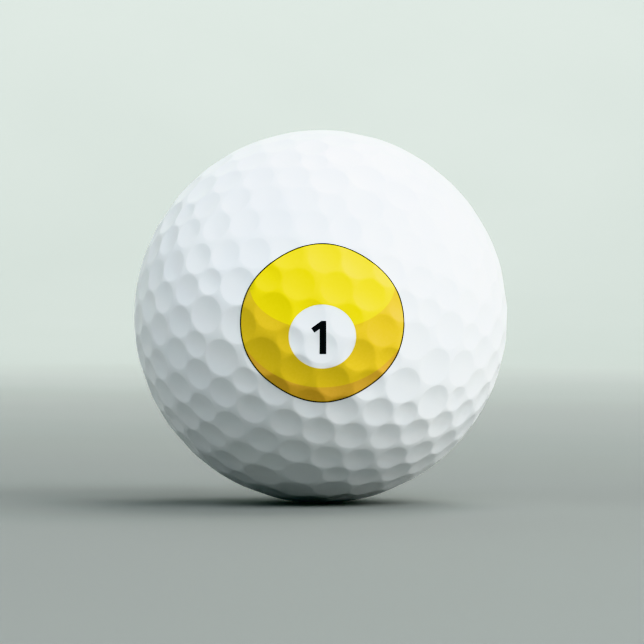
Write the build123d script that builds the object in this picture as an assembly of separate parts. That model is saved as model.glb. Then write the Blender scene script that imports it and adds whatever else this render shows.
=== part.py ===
from build123d import *
import os
from math import atan, cos, degrees, pi, radians, sin, tan

# Golf ball, regulation size. Millimetres and degrees; +Z up, origin at the ball's centre,
# the printed face towards -Y.

# --- driving dimensions ---
BALL_DIAMETER = 42.67
CORE_DIAMETER = 38.1
MANTLE_THICKNESS = 1.25

# Dimples lie in an icosahedral pattern. Its corner is leaned and turned from +Z.
PATTERN_HEADING = 70.4
PATTERN_LEAN = 24.2
PATTERN_SPIN = -6.2
# The bowl of a dimple meets the ball's surface at this angle.
EDGE_ANGLE = 14.0

# Each family: polar angle from a corner of the icosahedron, azimuths from an edge, half angle.
# An azimuth of 36 points to the middle of a face.
CORNER_DIMPLE_HALF_ANGLE = 5.7
DIMPLE_FAMILIES = [
    (11.7, (36,), 5.65),
    (16.6, (0,), 4.0),
    (26.0, (0,), 4.8),
    (31.6, (36,), 4.8),
    (48.9, (36,), 4.85),
    (22.1, (22.9, 49.1), 4.8),
]

# The print: a disc with toned bands round a bare roundel, and a play number in the roundel.
# Each colour is a thin film of ink. The roundel is the cover itself, left unprinted.
INK_THICKNESS = 0.03
PRINT_TURN = 0.5
PRINT_DIP = 2.0
FIELD_WIDTH = 18.0
FIELD_HEIGHT = 17.26
KEYLINE_WIDTH = 0.14
ROUNDEL_WIDTH = 7.37
ROUNDEL_HEIGHT = 7.02
ROUNDEL_RISE = -1.43
HIGHLIGHT_WIDTH = 15.9
HIGHLIGHT_HEIGHT = 9.56
HIGHLIGHT_RISE = 4.1
SHADE_EDGE_RADIUS = 10.5
SHADE_EDGE_RISE = 3.46
NUMERAL_RISE = -1.525
NUMERAL_HEIGHT = 3.64
STEM_WIDTH = 0.71
STEM_RIGHT = 0.415
SHOULDER_WIDTH = 0.525
FLAG_REACH = 1.12
FLAG_WIDTH = 0.6
FLAG_ANGLE = 35.5
# The disc's rim strays from a true oval by waves: how many go round it, and how far they reach.
RIM_WAVES = [(4, 0.068), (6, -0.048)]
RIM_POINTS = 48

# --- worked out from them ---
BALL_RADIUS = BALL_DIAMETER / 2
CORE_RADIUS = CORE_DIAMETER / 2
MANTLE_RADIUS = CORE_RADIUS + MANTLE_THICKNESS
CORNER_SPACING = degrees(atan(2))
FIFTH_TURN = 72
RIM_OVERRUN = 0.01
TOOL_HEADROOM = 1.0
PRINT_TOOL_DEPTH = 6.0
PRINT_MARGIN = 0.5
WIDEST_DIMPLE = BALL_RADIUS * sin(radians(CORNER_DIMPLE_HALF_ANGLE))

PATTERN = Rot(0, 0, PATTERN_HEADING) * Rot(0, PATTERN_LEAN, 0) * Rot(0, 0, PATTERN_SPIN)
PRINT_PLANE = Rot(0, 0, PRINT_TURN) * Rot(PRINT_DIP, 0, 0) * Plane.XZ


def corner_frames():
    """Frames at the twelve corners of the icosahedron: +Z outwards, +X along an edge."""
    upper = [Rot(0, 0, 0)]
    for fifth in range(5):
        heading = Rot(0, 0, fifth * FIFTH_TURN)
        upper.append(heading * Rot(0, CORNER_SPACING, 0) * Rot(0, 0, 180))
    half_step = Rot(0, 0, FIFTH_TURN / 2) * Rot(180, 0, 0)
    lower = [half_step * frame for frame in upper]
    return upper + lower


def dimple_spots():
    """Every dimple as (frame at its middle, half angle): 12 at the corners and 420 more."""
    spots = []
    for corner in corner_frames():
        spots.append((corner, CORNER_DIMPLE_HALF_ANGLE))
        for polar, azimuths, half_angle in DIMPLE_FAMILIES:
            for azimuth in azimuths:
                for fifth in range(5):
                    turn = Rot(0, 0, azimuth + fifth * FIFTH_TURN)
                    spots.append((corner * turn * Rot(0, polar, 0), half_angle))
    return spots


def dimple_tool(half_angle, skin):
    """The solid that cuts a dimple at +Z, with a bowl raised by skin all over."""
    rim_radius = BALL_RADIUS * sin(radians(half_angle))
    bowl_tilt = radians(EDGE_ANGLE - half_angle)
    bowl_radius = rim_radius / sin(bowl_tilt)
    bowl_centre = BALL_RADIUS * cos(radians(half_angle)) + bowl_radius * cos(bowl_tilt)
    bowl = Pos(0, 0, bowl_centre) * Rot(90, 0, 0) * Sphere(bowl_radius - skin)
    plug = Pos(0, 0, BALL_RADIUS) * Cylinder(rim_radius + RIM_OVERRUN, 2 * TOOL_HEADROOM)
    return bowl & plug


def dimple_tools(spots, skin):
    """A cutting tool at each of the given spots."""
    half_angles = {half_angle for _, half_angle in spots}
    pattern_tools = {angle: dimple_tool(angle, skin) for angle in half_angles}
    return [frame * pattern_tools[half_angle] for frame, half_angle in spots]


def make_cover(spots):
    """The dimpled shell round the mantle."""
    ball = Sphere(BALL_RADIUS) - dimple_tools(spots, 0)
    return PATTERN * (ball - Sphere(MANTLE_RADIUS))


def make_mantle():
    """The stiff casing between the core and the cover."""
    return Sphere(MANTLE_RADIUS) - Sphere(CORE_RADIUS)


def make_core():
    """The solid rubber centre."""
    return Sphere(CORE_RADIUS)


def near_print(frame):
    """True for a dimple that the print can reach."""
    middle = (PATTERN * frame * Pos(0, 0, BALL_RADIUS)).position
    across = PRINT_PLANE.to_local_coords(middle)
    reach = FIELD_WIDTH / 2 + PRINT_MARGIN + WIDEST_DIMPLE
    return across.Z > 0 and Vector(across.X, across.Y).length < reach


def ink_stock(spots):
    """One film of ink over the whole print, lying in the dimples and on the land between."""
    near = [(PATTERN * frame, half_angle) for frame, half_angle in spots if near_print(frame)]
    outline = Ellipse(FIELD_WIDTH / 2 + PRINT_MARGIN, FIELD_HEIGHT / 2 + PRINT_MARGIN)
    backing_outline = Ellipse(FIELD_WIDTH / 2 + 2 * PRINT_MARGIN, FIELD_HEIGHT / 2 + 2 * PRINT_MARGIN)
    reach = BALL_RADIUS + PRINT_MARGIN
    inner_end = BALL_RADIUS - PRINT_TOOL_DEPTH
    sleeve = extrude(PRINT_PLANE.offset(inner_end) * outline, reach - inner_end)
    backing_sleeve = extrude(PRINT_PLANE * backing_outline, reach)
    top = (sleeve & Sphere(BALL_RADIUS + INK_THICKNESS)) - dimple_tools(near, INK_THICKNESS)
    backing = (backing_sleeve & Sphere(BALL_RADIUS)) - dimple_tools(near, 0)
    return top - backing


def wavy_oval(width, height):
    """An oval with the rim's waves."""
    points = []
    for step in range(RIM_POINTS):
        angle = 2 * pi * step / RIM_POINTS
        wave = sum(reach * cos(count * angle) for count, reach in RIM_WAVES)
        points.append(((width / 2 + wave) * cos(angle), (height / 2 + wave) * sin(angle)))
    return make_face(Spline(*points, periodic=True))


def numeral_outline():
    """The figure 1: an upright stem with a slanting flag, standing in the roundel."""
    top = NUMERAL_RISE + NUMERAL_HEIGHT / 2
    bottom = NUMERAL_RISE - NUMERAL_HEIGHT / 2
    stem_left = STEM_RIGHT - STEM_WIDTH
    shoulder = STEM_RIGHT - SHOULDER_WIDTH
    flag_slope = tan(radians(FLAG_ANGLE))
    tip_left = shoulder - FLAG_REACH
    tip_high = top - FLAG_REACH * flag_slope
    tip_right = tip_left + FLAG_WIDTH * sin(radians(FLAG_ANGLE))
    tip_low = tip_high - FLAG_WIDTH * cos(radians(FLAG_ANGLE))
    flag_join = tip_low + (stem_left - tip_right) * flag_slope
    return make_face(
        Polyline(
            (STEM_RIGHT, top),
            (shoulder, top),
            (tip_left, tip_high),
            (tip_right, tip_low),
            (stem_left, flag_join),
            (stem_left, bottom),
            (STEM_RIGHT, bottom),
            close=True,
        )
    )


def print_outlines():
    """The flat outline of each colour. They meet edge to edge and don't overlap."""
    rim = wavy_oval(FIELD_WIDTH, FIELD_HEIGHT)
    disc = wavy_oval(FIELD_WIDTH - 2 * KEYLINE_WIDTH, FIELD_HEIGHT - 2 * KEYLINE_WIDTH)
    roundel = Pos(0, ROUNDEL_RISE) * Ellipse(ROUNDEL_WIDTH / 2, ROUNDEL_HEIGHT / 2)
    numeral = numeral_outline()
    brow = Pos(0, HIGHLIGHT_RISE) * Ellipse(HIGHLIGHT_WIDTH / 2, HIGHLIGHT_HEIGHT / 2)
    above = Pos(0, HIGHLIGHT_RISE + FIELD_HEIGHT / 2) * Rectangle(2 * FIELD_WIDTH, FIELD_HEIGHT)
    highlight = (disc & (brow + above)) - roundel
    shade = disc - Pos(0, SHADE_EDGE_RISE) * Circle(SHADE_EDGE_RADIUS)
    return {
        "print_keyline": rim - disc,
        "print_highlight": highlight,
        "print_shade": shade,
        "print_field": disc - highlight - shade - roundel,
        "print_numeral": numeral,
    }


def make_film(stock, outline):
    """The stretch of the ink film that lies inside an outline."""
    return stock & extrude(PRINT_PLANE * outline, BALL_RADIUS + 2 * PRINT_MARGIN)


def main():
    spots = dimple_spots()
    nodes = {
        "core": make_core(),
        "mantle": make_mantle(),
        "cover": make_cover(spots),
    }
    stock = ink_stock(spots)
    for name, outline in print_outlines().items():
        nodes[name] = make_film(stock, outline)

    os.makedirs("parts", exist_ok=True)
    for name, part in nodes.items():
        export_step(part, f"parts/{name}.step")
        print(name, len(part.solids()), "solids", round(part.volume, 2), "mm3", part.is_valid)
    print(len(spots), "dimples")


main()
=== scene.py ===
from math import atan, cos, degrees, pi, radians, sin, sqrt, tan

import bmesh
import bpy
import numpy as np
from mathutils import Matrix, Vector
from mathutils.geometry import delaunay_2d_cdt


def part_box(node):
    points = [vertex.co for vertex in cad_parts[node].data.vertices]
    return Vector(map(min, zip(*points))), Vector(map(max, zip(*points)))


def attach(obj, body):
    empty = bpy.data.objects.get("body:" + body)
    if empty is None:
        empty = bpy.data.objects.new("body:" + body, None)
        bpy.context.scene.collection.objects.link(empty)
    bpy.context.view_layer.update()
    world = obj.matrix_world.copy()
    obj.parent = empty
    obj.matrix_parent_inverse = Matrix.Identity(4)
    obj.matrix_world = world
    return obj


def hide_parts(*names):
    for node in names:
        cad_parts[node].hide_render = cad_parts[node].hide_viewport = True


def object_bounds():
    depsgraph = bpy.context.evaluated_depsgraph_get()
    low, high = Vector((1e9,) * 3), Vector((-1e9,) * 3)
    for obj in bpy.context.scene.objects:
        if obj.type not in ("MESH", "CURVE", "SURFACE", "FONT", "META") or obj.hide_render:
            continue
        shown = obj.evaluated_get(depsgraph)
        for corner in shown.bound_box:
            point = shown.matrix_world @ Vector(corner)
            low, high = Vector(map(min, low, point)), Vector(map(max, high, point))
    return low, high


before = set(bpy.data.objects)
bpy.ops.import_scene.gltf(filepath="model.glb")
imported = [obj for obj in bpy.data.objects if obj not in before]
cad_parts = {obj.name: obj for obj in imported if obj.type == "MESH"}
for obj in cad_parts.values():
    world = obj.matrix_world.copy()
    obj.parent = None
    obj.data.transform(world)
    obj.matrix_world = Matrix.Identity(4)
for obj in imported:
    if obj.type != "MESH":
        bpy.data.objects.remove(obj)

cad_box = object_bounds()

# Metres, in the frame of the CAD model: origin at the ball's centre, print towards -Y.
MM = 0.001

# --- the ball, as in the CAD model ---
BALL_RADIUS = 21.335 * MM
MANTLE_RADIUS = (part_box("mantle")[1].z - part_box("mantle")[0].z) / 2
PATTERN_HEADING = 70.4
PATTERN_LEAN = 24.2
PATTERN_SPIN = -6.2
EDGE_ANGLE = 14.0
CORNER_DIMPLE_HALF_ANGLE = 5.7
# Polar angle from a corner of the icosahedron, azimuths from an edge, half angle.
DIMPLE_FAMILIES = [
    (11.7, (36,), 5.65),
    (16.6, (0,), 4.0),
    (26.0, (0,), 4.8),
    (31.6, (36,), 4.8),
    (48.9, (36,), 4.85),
    (22.1, (22.9, 49.1), 4.8),
]
CORNER_SPACING = degrees(atan(2))
FIFTH_TURN = 72

# Paint and coat round over the rim of each dimple, from this far inside to this far outside.
RIM_EASE = 0.17 * MM
EASE_DEPTH = RIM_EASE * sin(radians(EDGE_ANGLE))

# A little less than the thickness of the film in the CAD model, so that the ink stays inside it.
INK_THICKNESS = 0.025 * MM

# --- the print, as in the CAD model ---
PRINT_TURN = 0.5
PRINT_DIP = 2.0
FIELD_WIDTH = 18.0 * MM
FIELD_HEIGHT = 17.26 * MM
KEYLINE_WIDTH = 0.14 * MM
ROUNDEL_WIDTH = 7.37 * MM
ROUNDEL_HEIGHT = 7.02 * MM
ROUNDEL_RISE = -1.43 * MM
HIGHLIGHT_WIDTH = 15.9 * MM
HIGHLIGHT_HEIGHT = 9.56 * MM
HIGHLIGHT_RISE = 4.1 * MM
SHADE_EDGE_RADIUS = 10.5 * MM
SHADE_EDGE_RISE = 3.46 * MM
NUMERAL_RISE = -1.525 * MM
NUMERAL_HEIGHT = 3.64 * MM
STEM_WIDTH = 0.71 * MM
STEM_RIGHT = 0.415 * MM
SHOULDER_WIDTH = 0.525 * MM
FLAG_REACH = 1.12 * MM
FLAG_WIDTH = 0.6 * MM
FLAG_ANGLE = 35.5
# The disc's rim strays from a true oval by waves: how many go round it, and how far they reach.
RIM_WAVES = [(4, 0.068 * MM), (6, -0.048 * MM)]

# --- mesh fineness ---
RIM_SEGMENTS = 40
# Rings inside a dimple: share of its half angle, points in the ring.
BOWL_RINGS = [(0.26, 10), (0.5, 20), (0.72, 30)]
# A ring just outside a rim keeps the points that stay this share of the easing off other rims.
OUTER_RING_SHARE = 0.8
# Rows of the triangular grid over a face of the icosahedron, and its distance from the rims.
LAND_ROWS = 54
LAND_CLEARANCE = 0.2 * MM
SIDE_CLEARANCE = 0.05 * MM
INNER_SPHERE_LEVEL = 5
OUTLINE_STEP = 0.12 * MM
OUTLINE_CLEARANCE = 0.05 * MM
MERGE_DISTANCE = 0.002 * MM
# Steps that bring a point of the print onto the surface.
LAY_STEPS = 5
# Sides of a film that meet at more than this angle keep a sharp edge.
SHARP_ANGLE = 60
# The shade's edge is drawn over this stretch of its circle, which reaches past the rim.
SHADE_ARC = (205, 335)
TINY = 1e-9
TRIANGULATION_TOLERANCE = 1e-7
SAME_DIRECTION = 1 - 1e-6


# ---------------------------------------------------------------- dimple pattern


def turn_x(angle):
    """Rotation matrix about X, by degrees."""
    c, s = cos(radians(angle)), sin(radians(angle))
    return np.array([[1, 0, 0], [0, c, -s], [0, s, c]])


def turn_y(angle):
    """Rotation matrix about Y, by degrees."""
    c, s = cos(radians(angle)), sin(radians(angle))
    return np.array([[c, 0, s], [0, 1, 0], [-s, 0, c]])


def turn_z(angle):
    """Rotation matrix about Z, by degrees."""
    c, s = cos(radians(angle)), sin(radians(angle))
    return np.array([[c, -s, 0], [s, c, 0], [0, 0, 1]])


def corner_frames():
    """Frames at the twelve corners of the icosahedron: +Z outwards, +X along an edge."""
    upper = [np.eye(3)]
    for fifth in range(5):
        upper.append(turn_z(fifth * FIFTH_TURN) @ turn_y(CORNER_SPACING) @ turn_z(180))
    half_step = turn_z(FIFTH_TURN / 2) @ turn_x(180)
    return upper + [half_step @ corner for corner in upper]


def dimple_layout():
    """The frame at each dimple's middle and its half angle in radians."""
    frames = []
    half_angles = []
    for corner in corner_frames():
        frames.append(corner)
        half_angles.append(CORNER_DIMPLE_HALF_ANGLE)
        for polar, azimuths, half_angle in DIMPLE_FAMILIES:
            for azimuth in azimuths:
                for fifth in range(5):
                    heading = turn_z(azimuth + fifth * FIFTH_TURN)
                    frames.append(corner @ heading @ turn_y(polar))
                    half_angles.append(half_angle)
    return np.array(frames), np.radians(half_angles)


PATTERN = turn_z(PATTERN_HEADING) @ turn_y(PATTERN_LEAN) @ turn_z(PATTERN_SPIN)
DIMPLE_FRAMES, HALF_ANGLES = dimple_layout()
DIMPLE_AXES = DIMPLE_FRAMES[:, :, 2]
BOWL_TILTS = radians(EDGE_ANGLE) - HALF_ANGLES
BOWL_RADII = BALL_RADIUS * np.sin(HALF_ANGLES) / np.sin(BOWL_TILTS)
BOWL_CENTRES = BALL_RADIUS * np.cos(HALF_ANGLES) + BOWL_RADII * np.cos(BOWL_TILTS)


def angles_to_dimples(directions):
    """Angle from each direction to each dimple's axis, in radians."""
    return np.arccos(np.clip(directions @ DIMPLE_AXES.T, -1, 1))


def sink(directions):
    """How far the surface lies under the land along each direction of the pattern."""
    angles = angles_to_dimples(directions)
    reach = HALF_ANGLES + 2 * RIM_EASE / BALL_RADIUS
    rows, columns = np.nonzero(angles < reach)
    angles = angles[rows, columns]
    centres = BOWL_CENTRES[columns]
    across = centres * np.sin(angles)
    bowl = centres * np.cos(angles) - np.sqrt(BOWL_RADII[columns] ** 2 - across**2)
    under = BALL_RADIUS - bowl
    eased = (under + EASE_DEPTH) ** 2 / (4 * EASE_DEPTH)
    eased = np.where(under > EASE_DEPTH, under, eased)
    eased = np.where(under < -EASE_DEPTH, 0, eased)
    depth = np.zeros(len(directions))
    np.add.at(depth, rows, eased)
    return depth


# ---------------------------------------------------------------- cover mesh


def unit(vectors):
    """The vectors brought to length 1."""
    return vectors / np.linalg.norm(vectors, axis=-1, keepdims=True)


# The first three corners make one face. Its mesh is turned to all twenty.
FACE_CORNERS = np.array([corner[:, 2] for corner in corner_frames()[:3]])
FACE_SIDES = unit(np.cross(FACE_CORNERS, np.roll(FACE_CORNERS, -1, axis=0)))
FACE_MIDDLE = unit(FACE_CORNERS.sum(axis=0))


def settle_on_sides(points):
    """Points a hair off a side of the face are put exactly on it."""
    for side in FACE_SIDES:
        off = points @ side
        off[np.abs(off) > TINY] = 0
        points = points - off[:, None] * side
    return unit(points)


def inside_face(points):
    """True for points in the face or on its sides."""
    return (points @ FACE_SIDES.T > -TINY).all(axis=1)


def clearances(points, own=None):
    """Distance along the surface from each point to the nearest rim, less its own dimple's."""
    away = (angles_to_dimples(points) - HALF_ANGLES) * BALL_RADIUS
    if own is not None:
        away[:, own] = np.inf
    return away.min(axis=1)


def ring(dimple, angle, segments):
    """Points round a dimple's axis at an angle from it."""
    around = 2 * pi * np.arange(segments) / segments
    level = np.full(segments, cos(angle))
    local = np.stack([sin(angle) * np.cos(around), sin(angle) * np.sin(around), level], axis=1)
    return local @ DIMPLE_FRAMES[dimple].T


def clear_of_sides(points):
    """True for points on a side of the face or well away from all three."""
    off = np.abs(points @ FACE_SIDES.T)
    return ((off < TINY) | (off * BALL_RADIUS > SIDE_CLEARANCE)).all(axis=1)


def dimple_points(dimple):
    """The rings of one dimple that lie in the face, and the rim's edges as index pairs."""
    half_angle = HALF_ANGLES[dimple]
    ease = RIM_EASE / BALL_RADIUS
    rings = [(share * half_angle, segments) for share, segments in BOWL_RINGS]
    rings += [(half_angle - ease, RIM_SEGMENTS), (half_angle - ease / 2, RIM_SEGMENTS)]
    groups = [DIMPLE_AXES[dimple][None]]
    for angle, segments in rings:
        points = ring(dimple, angle, segments)
        groups.append(points[inside_face(points)])
    rim = ring(dimple, half_angle, RIM_SEGMENTS)
    kept = np.flatnonzero(inside_face(rim))
    first = sum(len(group) for group in groups)
    place = {point: first + order for order, point in enumerate(kept)}
    edges = []
    for point in kept:
        following = (point + 1) % RIM_SEGMENTS
        if following in place:
            edges.append((place[point], place[following]))
    groups.append(rim[kept])
    outer = ring(dimple, half_angle + ease / 2, RIM_SEGMENTS)
    roomy = clearances(outer, own=dimple) > OUTER_RING_SHARE * ease * BALL_RADIUS
    outer = outer[inside_face(outer) & roomy]
    groups.append(outer[clear_of_sides(outer)])
    return np.concatenate(groups), edges


def land_points():
    """A triangular grid over the face, where it is well clear of every rim."""
    steps = [(i, j) for i in range(LAND_ROWS + 1) for j in range(LAND_ROWS + 1 - i)]
    steps = np.array(steps)
    shares = np.column_stack([LAND_ROWS - steps.sum(axis=1), steps])
    points = unit(shares @ FACE_CORNERS)
    return points[clearances(points) > LAND_CLEARANCE]


def side_edges(points):
    """Index pairs that join neighbouring points along each side of the face."""
    edges = []
    for start, side in zip(FACE_CORNERS, FACE_SIDES):
        on_side = np.flatnonzero(np.abs(points @ side) < TINY)
        order = on_side[np.argsort(-(points[on_side] @ start))]
        edges += list(zip(order[:-1], order[1:]))
    return edges


def triangulate(flat, edges):
    """Triangles over flat points that keep the given edges. Crossings add points at the end."""
    coordinates = [Vector(point) for point in flat]
    pairs = [(int(a), int(b)) for a, b in edges]
    found = delaunay_2d_cdt(coordinates, pairs, [], 0, TRIANGULATION_TOLERANCE, True)
    out_points, triangles, origins = found[0], found[2], found[3]
    new_place = np.zeros(len(out_points), int)
    added = []
    for index, origin in enumerate(origins):
        if origin:
            new_place[index] = origin[0]
        else:
            new_place[index] = len(flat) + len(added)
            added.append(tuple(out_points[index]))
    points = np.concatenate([flat, np.array(added).reshape(-1, 2)])
    triangles = new_place[np.array(triangles)]
    corners = points[triangles]
    first = corners[:, 1] - corners[:, 0]
    second = corners[:, 2] - corners[:, 0]
    area = first[:, 0] * second[:, 1] - first[:, 1] * second[:, 0]
    triangles[area < 0] = triangles[area < 0][:, ::-1]
    return points, triangles[np.abs(area) > TINY * np.abs(area).max()]


def face_mesh():
    """Directions and triangles of the dimpled surface over one face of the icosahedron."""
    groups = []
    edges = []
    count = 0
    for dimple in np.flatnonzero(inside_face(DIMPLE_AXES)):
        points, rim_edges = dimple_points(dimple)
        edges += [(a + count, b + count) for a, b in rim_edges]
        groups.append(points)
        count += len(points)
    groups.append(land_points())
    points = settle_on_sides(np.concatenate(groups))
    edges += side_edges(points)
    along = unit(FACE_CORNERS[1] - FACE_CORNERS[0])
    across = np.cross(FACE_MIDDLE, along)
    flat = np.stack([points @ along, points @ across], axis=1) / (points @ FACE_MIDDLE)[:, None]
    _, triangles = triangulate(flat, edges)
    return points, triangles


def face_turns():
    """The twenty turns that carry the first face onto each face of the icosahedron."""
    turns = []
    middles = []
    for corner in corner_frames():
        for fifth in range(5):
            candidate = corner @ turn_z(fifth * FIFTH_TURN)
            middle = candidate @ FACE_MIDDLE
            if all(middle @ other < SAME_DIRECTION for other in middles):
                turns.append(candidate)
                middles.append(middle)
    return turns


def add_object(name, mesh_data):
    """A new object in the scene with the given mesh."""
    piece = bpy.data.objects.new(name, mesh_data)
    bpy.context.scene.collection.objects.link(piece)
    return piece


def shade_smooth(mesh_data):
    mesh_data.polygons.foreach_set("use_smooth", [True] * len(mesh_data.polygons))


def make_cover():
    """The cover as a shell: its dimpled outside and the smooth inside that meets the mantle."""
    directions, triangles = face_mesh()
    surface = directions * (BALL_RADIUS - sink(directions))[:, None]
    turns = face_turns()
    vertices = np.concatenate([surface @ (PATTERN @ turn).T for turn in turns])
    starts = len(directions) * np.arange(len(turns))
    faces = np.concatenate([triangles + start for start in starts])
    outside = bpy.data.meshes.new("cover_shell")
    outside.from_pydata(vertices.tolist(), [], faces.tolist())
    shell = bmesh.new()
    shell.from_mesh(outside)
    bmesh.ops.remove_doubles(shell, verts=shell.verts, dist=MERGE_DISTANCE)
    skin_points = np.array([vertex.co for vertex in shell.verts])
    inside = bmesh.ops.create_icosphere(
        shell, subdivisions=INNER_SPHERE_LEVEL, radius=MANTLE_RADIUS
    )
    inner_faces = {face for vertex in inside["verts"] for face in vertex.link_faces}
    bmesh.ops.reverse_faces(shell, faces=list(inner_faces))
    shell.to_mesh(outside)
    shell.free()
    shade_smooth(outside)
    return add_object("cover_shell", outside), skin_points


# ---------------------------------------------------------------- print


PRINT_FRAME = turn_z(PRINT_TURN) @ turn_x(PRINT_DIP)
PRINT_RIGHT = PRINT_FRAME @ np.array([1, 0, 0])
PRINT_UP = PRINT_FRAME @ np.array([0, 0, 1])
PRINT_OUT = PRINT_FRAME @ np.array([0, -1, 0])


def lay(flat, lift):
    """Flat print points carried along the print's axis onto the surface, raised by lift."""
    base = flat[:, :1] * PRINT_RIGHT + flat[:, 1:] * PRINT_UP
    reach = np.full(len(flat), BALL_RADIUS)
    for _ in range(LAY_STEPS):
        depth = np.sqrt(reach**2 - (flat**2).sum(axis=1))
        points = base + depth[:, None] * PRINT_OUT
        reach = BALL_RADIUS - sink(unit(points) @ PATTERN) + lift
    return points


def oval_points(width, height, rise, angles):
    """Points of an oval at the given angles, its middle raised by rise."""
    return np.stack([width / 2 * np.cos(angles), rise + height / 2 * np.sin(angles)], axis=1)


def arc(width, height, rise, start=0, end=360):
    """Points along an oval, at even angles no further apart than the outline step."""
    count = int(abs(end - start) / 360 * pi * max(width, height) / OUTLINE_STEP) + 1
    return oval_points(width, height, rise, np.radians(np.linspace(start, end, count + 1)))


def wavy_oval(width, height):
    """A closed oval with the rim's waves."""
    count = int(pi * width / OUTLINE_STEP)
    angles = np.linspace(0, 2 * pi, count + 1)
    waves = sum(reach * np.cos(number * angles) for number, reach in RIM_WAVES)
    return oval_points(width + 2 * waves, height + 2 * waves, 0, angles)


def numeral_corners():
    """The figure 1: an upright stem with a slanting flag, standing in the roundel."""
    top = NUMERAL_RISE + NUMERAL_HEIGHT / 2
    bottom = NUMERAL_RISE - NUMERAL_HEIGHT / 2
    stem_left = STEM_RIGHT - STEM_WIDTH
    shoulder = STEM_RIGHT - SHOULDER_WIDTH
    flag_slope = tan(radians(FLAG_ANGLE))
    tip_left = shoulder - FLAG_REACH
    tip_high = top - FLAG_REACH * flag_slope
    tip_right = tip_left + FLAG_WIDTH * sin(radians(FLAG_ANGLE))
    tip_low = tip_high - FLAG_WIDTH * cos(radians(FLAG_ANGLE))
    flag_join = tip_low + (stem_left - tip_right) * flag_slope
    return np.array(
        [
            (STEM_RIGHT, top),
            (shoulder, top),
            (tip_left, tip_high),
            (tip_right, tip_low),
            (stem_left, flag_join),
            (stem_left, bottom),
            (STEM_RIGHT, bottom),
        ]
    )


def divided(corners):
    """A closed outline with points added along its straight sides."""
    pieces = []
    for start, end in zip(corners, np.roll(corners, -1, axis=0)):
        count = int(np.linalg.norm(end - start) / OUTLINE_STEP) + 1
        pieces.append(start + (end - start) * np.arange(count)[:, None] / count)
    return np.concatenate(pieces + [corners[:1]])


def within_oval(points, width, height, rise):
    """True for points inside an oval whose middle is raised by rise."""
    return (2 * points[:, 0] / width) ** 2 + (2 * (points[:, 1] - rise) / height) ** 2 < 1


def within_outline(points, corners):
    """Even-odd test of points against a closed outline."""
    inside = np.zeros(len(points), bool)
    x, y = points.T
    for (x1, y1), (x2, y2) in zip(corners, np.roll(corners, -1, axis=0)):
        if y1 == y2:
            continue
        spans = (y1 > y) != (y2 > y)
        inside ^= spans & (x < x1 + (y - y1) * (x2 - x1) / (y2 - y1))
    return inside


DISC_WIDTH = FIELD_WIDTH - 2 * KEYLINE_WIDTH
DISC_HEIGHT = FIELD_HEIGHT - 2 * KEYLINE_WIDTH
SHADE_EDGE_WIDTH = 2 * SHADE_EDGE_RADIUS


def print_outlines():
    """Every line of the print where one colour ends."""
    return [
        wavy_oval(FIELD_WIDTH, FIELD_HEIGHT),
        wavy_oval(DISC_WIDTH, DISC_HEIGHT),
        arc(ROUNDEL_WIDTH, ROUNDEL_HEIGHT, ROUNDEL_RISE),
        arc(HIGHLIGHT_WIDTH, HIGHLIGHT_HEIGHT, HIGHLIGHT_RISE, 180, 360),
        arc(SHADE_EDGE_WIDTH, SHADE_EDGE_WIDTH, SHADE_EDGE_RISE, *SHADE_ARC),
        divided(numeral_corners()),
    ]


def print_regions(middles):
    """Which colour each triangle of the print belongs to, by its middle."""
    rim = within_outline(middles, wavy_oval(FIELD_WIDTH, FIELD_HEIGHT))
    disc = within_outline(middles, wavy_oval(DISC_WIDTH, DISC_HEIGHT))
    roundel = within_oval(middles, ROUNDEL_WIDTH, ROUNDEL_HEIGHT, ROUNDEL_RISE)
    brow = within_oval(middles, HIGHLIGHT_WIDTH, HIGHLIGHT_HEIGHT, HIGHLIGHT_RISE)
    highlight = disc & ~roundel & (brow | (middles[:, 1] > HIGHLIGHT_RISE))
    light = within_oval(middles, SHADE_EDGE_WIDTH, SHADE_EDGE_WIDTH, SHADE_EDGE_RISE)
    shade = disc & ~light
    return {
        "print_keyline": rim & ~disc,
        "print_highlight": highlight,
        "print_shade": shade,
        "print_field": disc & ~roundel & ~highlight & ~shade,
        "print_numeral": within_outline(middles, numeral_corners()),
    }


def print_triangles(skin_points):
    """The whole print cut into triangles that follow the cover's own and every outline."""
    outlines = print_outlines()
    groups = []
    edges = []
    count = 0
    for outline in outlines:
        closed = np.linalg.norm(outline[0] - outline[-1]) < TINY
        points = outline[:-1] if closed else outline
        order = list(range(count, count + len(points)))
        if closed:
            order.append(count)
        edges += list(zip(order[:-1], order[1:]))
        groups.append(points)
        count += len(points)
    marks = np.concatenate(groups)
    facing = skin_points[skin_points @ PRINT_OUT > 0]
    flat = np.stack([facing @ PRINT_RIGHT, facing @ PRINT_UP], axis=1)
    flat = flat[within_outline(flat, wavy_oval(FIELD_WIDTH, FIELD_HEIGHT))]
    nearest = [np.linalg.norm(marks - point, axis=1).min() for point in flat]
    flat = flat[np.array(nearest) > OUTLINE_CLEARANCE]
    return triangulate(np.concatenate([marks, flat]) / MM, edges)


def make_film(name, points, triangles):
    """A closed film of ink over some of the print's triangles."""
    used, triangles = np.unique(triangles, return_inverse=True)
    triangles = triangles.reshape(-1, 3)
    flat = points[used]
    count = len(flat)
    vertices = np.concatenate([lay(flat, INK_THICKNESS), lay(flat, 0.0)])
    directed = np.concatenate([triangles[:, [0, 1]], triangles[:, [1, 2]], triangles[:, [2, 0]]])
    known = {tuple(edge) for edge in directed.tolist()}
    rims = [(a, b) for a, b in known if (b, a) not in known]
    faces = triangles.tolist() + (triangles[:, ::-1] + count).tolist()
    faces += [(b, a, a + count, b + count) for a, b in sorted(rims)]
    film = bpy.data.meshes.new(name)
    film.from_pydata(vertices.tolist(), [], faces)
    shade_smooth(film)
    film.set_sharp_from_angle(angle=radians(SHARP_ANGLE))
    return add_object(name, film)


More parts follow.
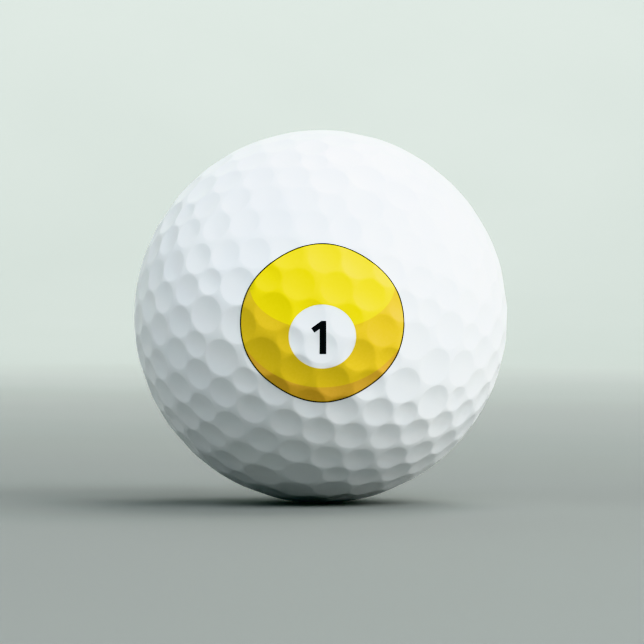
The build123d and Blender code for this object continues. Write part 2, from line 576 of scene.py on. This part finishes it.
# ---------------------------------------------------------------- materials


def new_material(name):
    """A material with its node tree, its Principled shader and the object coordinates."""
    material = bpy.data.materials.new(name)
    material.use_nodes = True
    tree = material.node_tree
    shader = tree.nodes["Principled BSDF"]
    place = tree.nodes.new("ShaderNodeTexCoord").outputs["Object"]
    return material, tree, shader, place


def noise(tree, place, size, detail=2.0, roughness=0.5):
    """Noise whose lumps are about size across, in metres."""
    node = tree.nodes.new("ShaderNodeTexNoise")
    node.inputs["Scale"].default_value = 1 / size
    node.inputs["Detail"].default_value = detail
    node.inputs["Roughness"].default_value = roughness
    tree.links.new(place, node.inputs["Vector"])
    return node.outputs["Fac"]


COAT_IOR = 1.5
PEEL_SIZE = 0.45 * MM
PEEL_DEPTH = 0.0006 * MM
# Patches where handling has dulled the gloss.
HANDLING_SIZE = 2.4 * MM
# Noise values seldom stray outside this span.
NOISE_LOW = 0.35
NOISE_HIGH = 0.65


def spread(tree, value, low, high):
    """A noise value mapped to the span from low to high."""
    node = tree.nodes.new("ShaderNodeMapRange")
    node.inputs["From Min"].default_value = NOISE_LOW
    node.inputs["From Max"].default_value = NOISE_HIGH
    node.inputs["To Min"].default_value = low
    node.inputs["To Max"].default_value = high
    tree.links.new(value, node.inputs["Value"])
    return node.outputs["Result"]


def blend_colours(tree, value, first, second):
    """A colour between two, led by a noise value."""
    node = tree.nodes.new("ShaderNodeValToRGB")
    low, high = node.color_ramp.elements
    low.position = NOISE_LOW
    low.color = (*first, 1)
    high.position = NOISE_HIGH
    high.color = (*second, 1)
    tree.links.new(value, node.inputs["Fac"])
    return node.outputs["Color"]


def add_bump(tree, shader, height, depth, inlet="Normal"):
    """Fine relief of about depth metres."""
    node = tree.nodes.new("ShaderNodeBump")
    node.inputs["Distance"].default_value = depth
    tree.links.new(height, node.inputs["Height"])
    tree.links.new(node.outputs["Normal"], shader.inputs[inlet])


def clear_coat(shader, weight, roughness, specular):
    """A clear coat, and how much the layer under it reflects."""
    shader.inputs["Coat Weight"].default_value = weight
    shader.inputs["Coat Roughness"].default_value = roughness
    shader.inputs["Coat IOR"].default_value = COAT_IOR
    shader.inputs["Specular IOR Level"].default_value = specular


def add_peel(tree, shader, place):
    """The faint orange peel of a sprayed coat."""
    peel = noise(tree, place, PEEL_SIZE)
    add_bump(tree, shader, peel, PEEL_DEPTH, "Coat Normal")


def cover_material():
    """White pigmented cover under a sprayed clear coat with a faint orange peel."""
    material, tree, shader, place = new_material("white_cover_clear_coat")
    clouds = noise(tree, place, 9 * MM, 3.0)
    colour = blend_colours(tree, clouds, (0.83, 0.85, 0.87), (0.86, 0.875, 0.885))
    tree.links.new(colour, shader.inputs["Base Color"])
    handling = noise(tree, place, HANDLING_SIZE, 5.0, 0.6)
    tree.links.new(spread(tree, handling, 0.3, 0.42), shader.inputs["Roughness"])
    add_peel(tree, shader, place)
    shader.inputs["Subsurface Weight"].default_value = 0.15
    shader.inputs["Subsurface Radius"].default_value = (1.0, 0.95, 0.9)
    shader.inputs["Subsurface Scale"].default_value = 0.12 * MM
    clear_coat(shader, 0.7, 0.35, 0.2)
    return material


# Each ink: the two colours of its mottle, and how strong the coat over it shows.
INKS = {
    "ink_black": ((0.004, 0.004, 0.004), (0.008, 0.008, 0.009), 0.1),
    "ink_light_yellow": ((0.825, 0.675, 0.004), (0.845, 0.695, 0.008), 0.2),
    "ink_amber": ((0.67, 0.385, 0.055), (0.7, 0.405, 0.062), 0.2),
    "ink_yellow": ((0.73, 0.515, 0.034), (0.755, 0.535, 0.042), 0.2),
}
# The material slot of each piece, by the CAD node that it stands for.
SLOTS = {
    "cover": "cover_white",
    "print_keyline": "ink_black",
    "print_highlight": "ink_light_yellow",
    "print_shade": "ink_amber",
    "print_field": "ink_yellow",
    "print_numeral": "ink_black",
}


def ink_material(name, first, second, coat):
    """Printed ink: fine mottling from the print run, under the same clear coat."""
    material, tree, shader, place = new_material(name)
    mottle = noise(tree, place, 0.3 * MM, 4.0, 0.6)
    tree.links.new(blend_colours(tree, mottle, first, second), shader.inputs["Base Color"])
    handling = noise(tree, place, HANDLING_SIZE, 5.0, 0.6)
    tree.links.new(spread(tree, handling, 0.34, 0.46), shader.inputs["Roughness"])
    add_peel(tree, shader, place)
    clear_coat(shader, coat, 0.38, 0.1)
    return material


def core_material():
    """Moulded rubber with filler specks and the marks of a ground surface."""
    material, tree, shader, place = new_material("core_rubber")
    specks = noise(tree, place, 0.6 * MM, 6.0, 0.7)
    colour = blend_colours(tree, specks, (0.05, 0.2, 0.25), (0.08, 0.28, 0.33))
    tree.links.new(colour, shader.inputs["Base Color"])
    grind = noise(tree, place, 0.3 * MM, 5.0, 0.7)
    tree.links.new(spread(tree, grind, 0.7, 0.9), shader.inputs["Roughness"])
    add_bump(tree, shader, grind, 0.02 * MM)
    return material


def mantle_material():
    """Milky ionomer with slow flow marks from moulding."""
    material, tree, shader, place = new_material("mantle_ionomer")
    flow = noise(tree, place, 6 * MM, 4.0)
    colour = blend_colours(tree, flow, (0.72, 0.72, 0.66), (0.8, 0.8, 0.75))
    tree.links.new(colour, shader.inputs["Base Color"])
    sheen = noise(tree, place, 1.5 * MM, 3.0)
    tree.links.new(spread(tree, sheen, 0.38, 0.55), shader.inputs["Roughness"])
    add_bump(tree, shader, sheen, 0.01 * MM)
    shader.inputs["Subsurface Weight"].default_value = 0.3
    shader.inputs["Subsurface Radius"].default_value = (1.0, 1.0, 0.9)
    shader.inputs["Subsurface Scale"].default_value = 0.5 * MM
    return material


def paint(piece, material):
    """The piece in one material."""
    piece.data.materials.clear()
    piece.data.materials.append(material)


# ---------------------------------------------------------------- stage


VIEW_DISTANCE = 20.4 * BALL_RADIUS
# In millimetres, as Blender wants it.
SENSOR_WIDTH = 36.0
# Shares of the frame's width: the ball's width, and how far it stands left and above the middle.
BALL_SHARE = 0.5789
LEFT_SHARE = 0.002
ABOVE_SHARE = 0.0082
# The floor's height, where the ball's lowest point rests.
LOWEST = cad_box[0].z
# The floor is flat out to the start of the sweep, which bends it up into the wall.
SWEEP_START = 1.3
SWEEP_RADIUS = 0.6
SWEEP_STEPS = 13
SWEEP_SEGMENTS = 96
WALL_HEIGHT = 1.6
LAMP_DISTANCE = 1.0
LAMP_SIZE = 0.7
# Each lamp that faces the ball: azimuth from the camera's side, elevation, watts, colour.
LAMPS = {
    "key_lamp": (54, 34, 11.2, (1.0, 0.985, 0.985)),
    "front_lamp": (14, 46, 5.4, (0.86, 0.91, 1.0)),
    "top_lamp": (140, 60, 8.8, (1.0, 0.985, 0.985)),
    "right_rim_lamp": (105, 20, 4.4, (1.0, 0.98, 0.98)),
    "left_lamp": (-66, 40, 3.0, (0.87, 0.92, 1.0)),
    "left_rim_lamp": (-110, 20, 0.8, (0.9, 0.93, 1.0)),
}
# A wall lamp's distance and height from the ball, and how steeply it looks down.
WALL_LAMP_REACH = 1.0
WALL_LAMP_HEIGHT = 1.8
WALL_LAMP_DROP = 0.53
WALL_LAMP_SIZE = 0.9
# Watts of each wall lamp by its heading: 0 is the wall behind the ball, 90 the one on its right.
WALL_LAMP_WATTS = {0: 185, 90: 70, 180: 48, 270: 70}


def add_camera():
    """A level view along +Y, framed as the photograph is."""
    data = bpy.data.cameras.new("camera")
    data.sensor_width = SENSOR_WIDTH
    data.sensor_height = SENSOR_WIDTH
    outline = BALL_RADIUS / sqrt(1 - (BALL_RADIUS / VIEW_DISTANCE) ** 2)
    data.lens = SENSOR_WIDTH * BALL_SHARE * VIEW_DISTANCE / (2 * outline)
    data.shift_x = LEFT_SHARE
    data.shift_y = -ABOVE_SHARE
    data.clip_start = 0.01
    camera = bpy.data.objects.new("camera", data)
    camera.location = (0, -VIEW_DISTANCE, 0)
    camera.rotation_euler = (pi / 2, 0, 0)
    bpy.context.scene.collection.objects.link(camera)
    bpy.context.scene.camera = camera


def stage_material():
    """Matt grey card with a faint mottle. The lamps are bright enough to make it look pale."""
    material, tree, shader, place = new_material("pale_paper")
    clouds = noise(tree, place, 0.2, 3.0)
    colour = blend_colours(tree, clouds, (0.139, 0.156, 0.145), (0.146, 0.163, 0.152))
    tree.links.new(colour, shader.inputs["Base Color"])
    shader.inputs["Roughness"].default_value = 0.9
    return material


def add_floor():
    """A round floor under the ball that sweeps up into a wall on every side."""
    arc_angles = np.radians(np.linspace(0, 90, SWEEP_STEPS))
    radii = SWEEP_START + SWEEP_RADIUS * np.sin(arc_angles)
    heights = SWEEP_RADIUS * (1 - np.cos(arc_angles))
    radii = np.append(radii, radii[-1])
    heights = np.append(heights, WALL_HEIGHT) + LOWEST
    around = 2 * pi * np.arange(SWEEP_SEGMENTS) / SWEEP_SEGMENTS
    vertices = []
    for radius, height in zip(radii, heights):
        level = np.full(SWEEP_SEGMENTS, height)
        loop = np.stack([radius * np.cos(around), radius * np.sin(around), level], axis=1)
        vertices += loop.tolist()
    faces = [tuple(range(SWEEP_SEGMENTS))]
    for row in range(len(radii) - 1):
        for step in range(SWEEP_SEGMENTS):
            low = row * SWEEP_SEGMENTS
            following = (step + 1) % SWEEP_SEGMENTS
            high = low + SWEEP_SEGMENTS
            faces.append((low + step, high + step, high + following, low + following))
    mesh_data = bpy.data.meshes.new("floor")
    mesh_data.from_pydata(vertices, [], faces)
    shade_smooth(mesh_data)
    floor = add_object("floor", mesh_data)
    paint(floor, stage_material())


def add_lamp(name, azimuth, elevation, watts, colour):
    """A square soft lamp that faces the ball. Azimuth 0 is the camera's side, 90 its right."""
    data = bpy.data.lights.new(name, "AREA")
    data.size = LAMP_SIZE
    data.energy = watts
    data.color = colour
    across = cos(radians(elevation))
    direction = Vector(
        (
            sin(radians(azimuth)) * across,
            -cos(radians(azimuth)) * across,
            sin(radians(elevation)),
        )
    )
    lamp = bpy.data.objects.new(name, data)
    lamp.location = direction * LAMP_DISTANCE
    lamp.rotation_euler = direction.to_track_quat("Z", "Y").to_euler()
    bpy.context.scene.collection.objects.link(lamp)


def add_wall_lamp(heading, watts):
    """A wide lamp high up that faces away from the ball, to light the wall on one side."""
    name = f"wall_lamp_{heading}"
    data = bpy.data.lights.new(name, "AREA")
    data.size = WALL_LAMP_SIZE
    data.energy = watts
    outwards = Vector((sin(radians(heading)), cos(radians(heading)), 0))
    aim = outwards - Vector((0, 0, WALL_LAMP_DROP))
    lamp = bpy.data.objects.new(name, data)
    lamp.location = outwards * WALL_LAMP_REACH + Vector((0, 0, WALL_LAMP_HEIGHT))
    lamp.rotation_euler = aim.to_track_quat("-Z", "Y").to_euler()
    bpy.context.scene.collection.objects.link(lamp)


def add_world():
    """A very dim sky, so that no corner is quite black."""
    world = bpy.data.worlds.new("sky")
    world.use_nodes = True
    background = world.node_tree.nodes["Background"]
    background.inputs["Color"].default_value = (0.9, 0.95, 1.0, 1)
    background.inputs["Strength"].default_value = 0.01
    bpy.context.scene.world = world


def main():
    """The pieces and their materials, then the camera, the floor and the lamps."""
    cover, skin_points = make_cover()
    pieces = {"cover": cover}
    points, triangles = print_triangles(skin_points)
    points = points * MM
    middles = points[triangles].mean(axis=1)
    for node, chosen in print_regions(middles).items():
        film_name = node.replace("print", "ink")
        pieces[node] = make_film(film_name, points, triangles[chosen])

    materials = {"cover_white": cover_material()}
    for name, (first, second, coat) in INKS.items():
        materials[name] = ink_material(name, first, second, coat)
    for node, piece in pieces.items():
        slot = SLOTS[node]
        paint(piece, materials[slot])
        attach(piece, "root")
        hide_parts(node)
    paint(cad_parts["core"], core_material())
    paint(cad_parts["mantle"], mantle_material())

    add_camera()
    add_floor()
    add_world()
    for name, (azimuth, elevation, watts, colour) in LAMPS.items():
        add_lamp(name, azimuth, elevation, watts, colour)
    for heading, watts in WALL_LAMP_WATTS.items():
        add_wall_lamp(heading, watts)
    bpy.context.scene.view_settings.view_transform = "Khronos PBR Neutral"


main()
